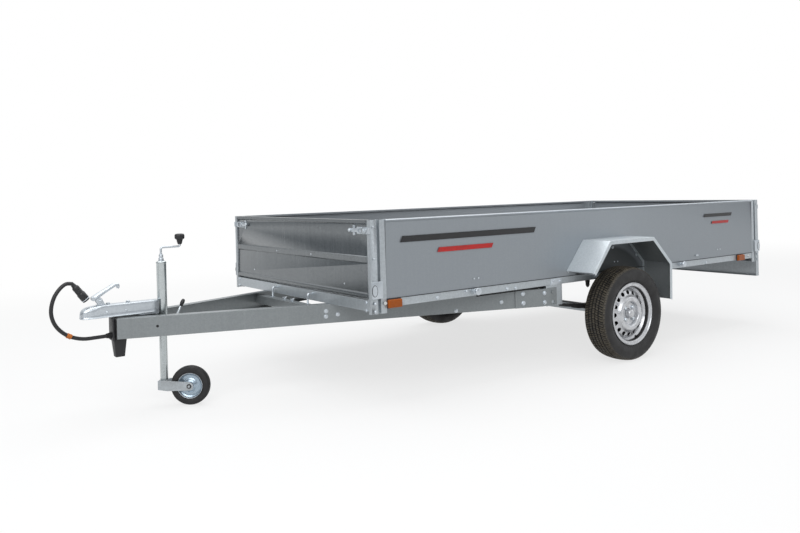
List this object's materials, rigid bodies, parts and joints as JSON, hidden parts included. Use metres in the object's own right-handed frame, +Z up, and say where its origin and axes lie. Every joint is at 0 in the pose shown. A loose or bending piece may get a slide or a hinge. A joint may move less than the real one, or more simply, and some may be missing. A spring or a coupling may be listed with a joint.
{
  "type": "car trailer",
  "caption": "Galvanised single-axle car trailer with a V drawbar, tipping bed, drop gates, mudguards, leaf springs and a jockey wheel.",
  "frame": {"origin": "on the ground, under the middle of the trailer's whole length and width", "axes": "-X towards the coupling, +X towards the tailgate, -Y the side seen in the picture, +Z up"},
  "size_m": [4.7234, 1.944, 0.901],
  "materials": {
    "galvanised_steel": "hot-dip galvanised, satin with a faint spangle",
    "wall_sheet": "galvanised sheet, semi-bright",
    "bright_zinc": "bright zinc plate",
    "black_steel": "black paint",
    "silver_paint": "silver wheel paint",
    "tyre": "matt tyre rubber",
    "rubber": "matt rubber",
    "black_plastic": "matt moulded",
    "cable_sheath": "satin sheath",
    "plywood": "brown film-faced plywood",
    "orange_lens": "moulded lens",
    "red_lens": "moulded lens"
  },
  "bodies": {
    "drawbar": {"drawbar_arm_left": "galvanised_steel", "drawbar_arm_right": "galvanised_steel", "arm_strap_left": "galvanised_steel", "arm_strap_right": "galvanised_steel", "drawbar_cross_member": "galvanised_steel", "coupling_channel": "bright_zinc", "coupling_head": "bright_zinc", "coupling_handle": "bright_zinc", "drawbar_end_block": "black_plastic", "jockey_clamp": "galvanised_steel", "clamp_grip": "black_plastic", "jockey_tube": "bright_zinc", "jockey_crank": "bright_zinc", "jockey_knob": "black_plastic", "cable": "cable_sheath", "plug": "black_plastic"},
    "bed": {"bed_rail_left": "galvanised_steel", "bed_rail_right": "galvanised_steel", "front_cross_rail": "galvanised_steel", "rear_cross_rail": "galvanised_steel", "cross_member_front": "galvanised_steel", "cross_member_axle": "galvanised_steel", "cross_member_rear": "galvanised_steel", "rear_lamp_panel": "galvanised_steel", "floor_board": "plywood", "side_panel_left": "wall_sheet", "side_panel_right": "wall_sheet", "post_front_left": "galvanised_steel", "post_front_right": "galvanised_steel", "post_rear_left": "galvanised_steel", "post_rear_right": "galvanised_steel", "mudguard_left": "galvanised_steel", "mudguard_right": "galvanised_steel", "axle_beam": "galvanised_steel", "leaf_spring_left": "black_steel", "leaf_spring_right": "black_steel", "spring_hanger_front_left": "galvanised_steel", "spring_hanger_front_right": "galvanised_steel", "spring_hanger_rear_left": "galvanised_steel", "spring_hanger_rear_right": "galvanised_steel", "bump_stop_left": "rubber", "bump_stop_right": "rubber", "hook_bolt_left": "bright_zinc", "hook_bolt_right": "bright_zinc", "rear_lamp_left": "red_lens", "rear_lamp_right": "red_lens", "side_marker_front_left": "orange_lens", "side_marker_front_right": "orange_lens", "side_marker_rear_left": "orange_lens", "side_marker_rear_right": "orange_lens"},
    "front_gate": {"front_gate": "wall_sheet"},
    "tailgate": {"tailgate": "wall_sheet"},
    "road_wheel_left": {"tyre_left": "tyre", "wheel_left": "silver_paint"},
    "road_wheel_right": {"tyre_right": "tyre", "wheel_right": "silver_paint"},
    "jockey_leg": {"jockey_leg": "bright_zinc"},
    "jockey_fork": {"jockey_fork": "galvanised_steel"},
    "jockey_wheel": {"jockey_tyre": "tyre", "jockey_rim": "bright_zinc"}
  },
  "joints": [
    {"name": "bed_tip", "type": "hinge", "parent": "drawbar", "child": "bed", "pos_m": [0.0585, 0, 0.441], "axis": [0, 1, 0], "range_deg": [0, 14]},
    {"name": "front_gate_hinge", "type": "hinge", "parent": "bed", "child": "front_gate", "pos_m": [-1.154, 0, 0.542], "axis": [0, -1, 0], "range_deg": [0, 95]},
    {"name": "tailgate_hinge", "type": "hinge", "parent": "bed", "child": "tailgate", "pos_m": [2.241, 0, 0.542], "axis": [0, 1, 0], "range_deg": [0, 105]},
    {"name": "wheel_left_spin", "type": "hinge", "parent": "bed", "child": "road_wheel_left", "pos_m": [0.5665, -0.8695, 0.27625], "axis": [0, 1, 0], "continuous": true},
    {"name": "wheel_right_spin", "type": "hinge", "parent": "bed", "child": "road_wheel_right", "pos_m": [0.5665, 0.8695, 0.27625], "axis": [0, 1, 0], "continuous": true},
    {"name": "jockey_lift", "type": "slide", "parent": "drawbar", "child": "jockey_leg", "axis": [0, 0, 1], "range_m": [-0.04, 0.15]},
    {"name": "jockey_swivel", "type": "hinge", "parent": "jockey_leg", "child": "jockey_fork", "pos_m": [-1.9045, 0, 0.2], "axis": [0, 0, 1], "continuous": true},
    {"name": "jockey_wheel_spin", "type": "hinge", "parent": "jockey_fork", "child": "jockey_wheel", "pos_m": [-1.79852, -0.077, 0.09677], "axis": [0.5878, 0.809, 0], "continuous": true}
  ]
}
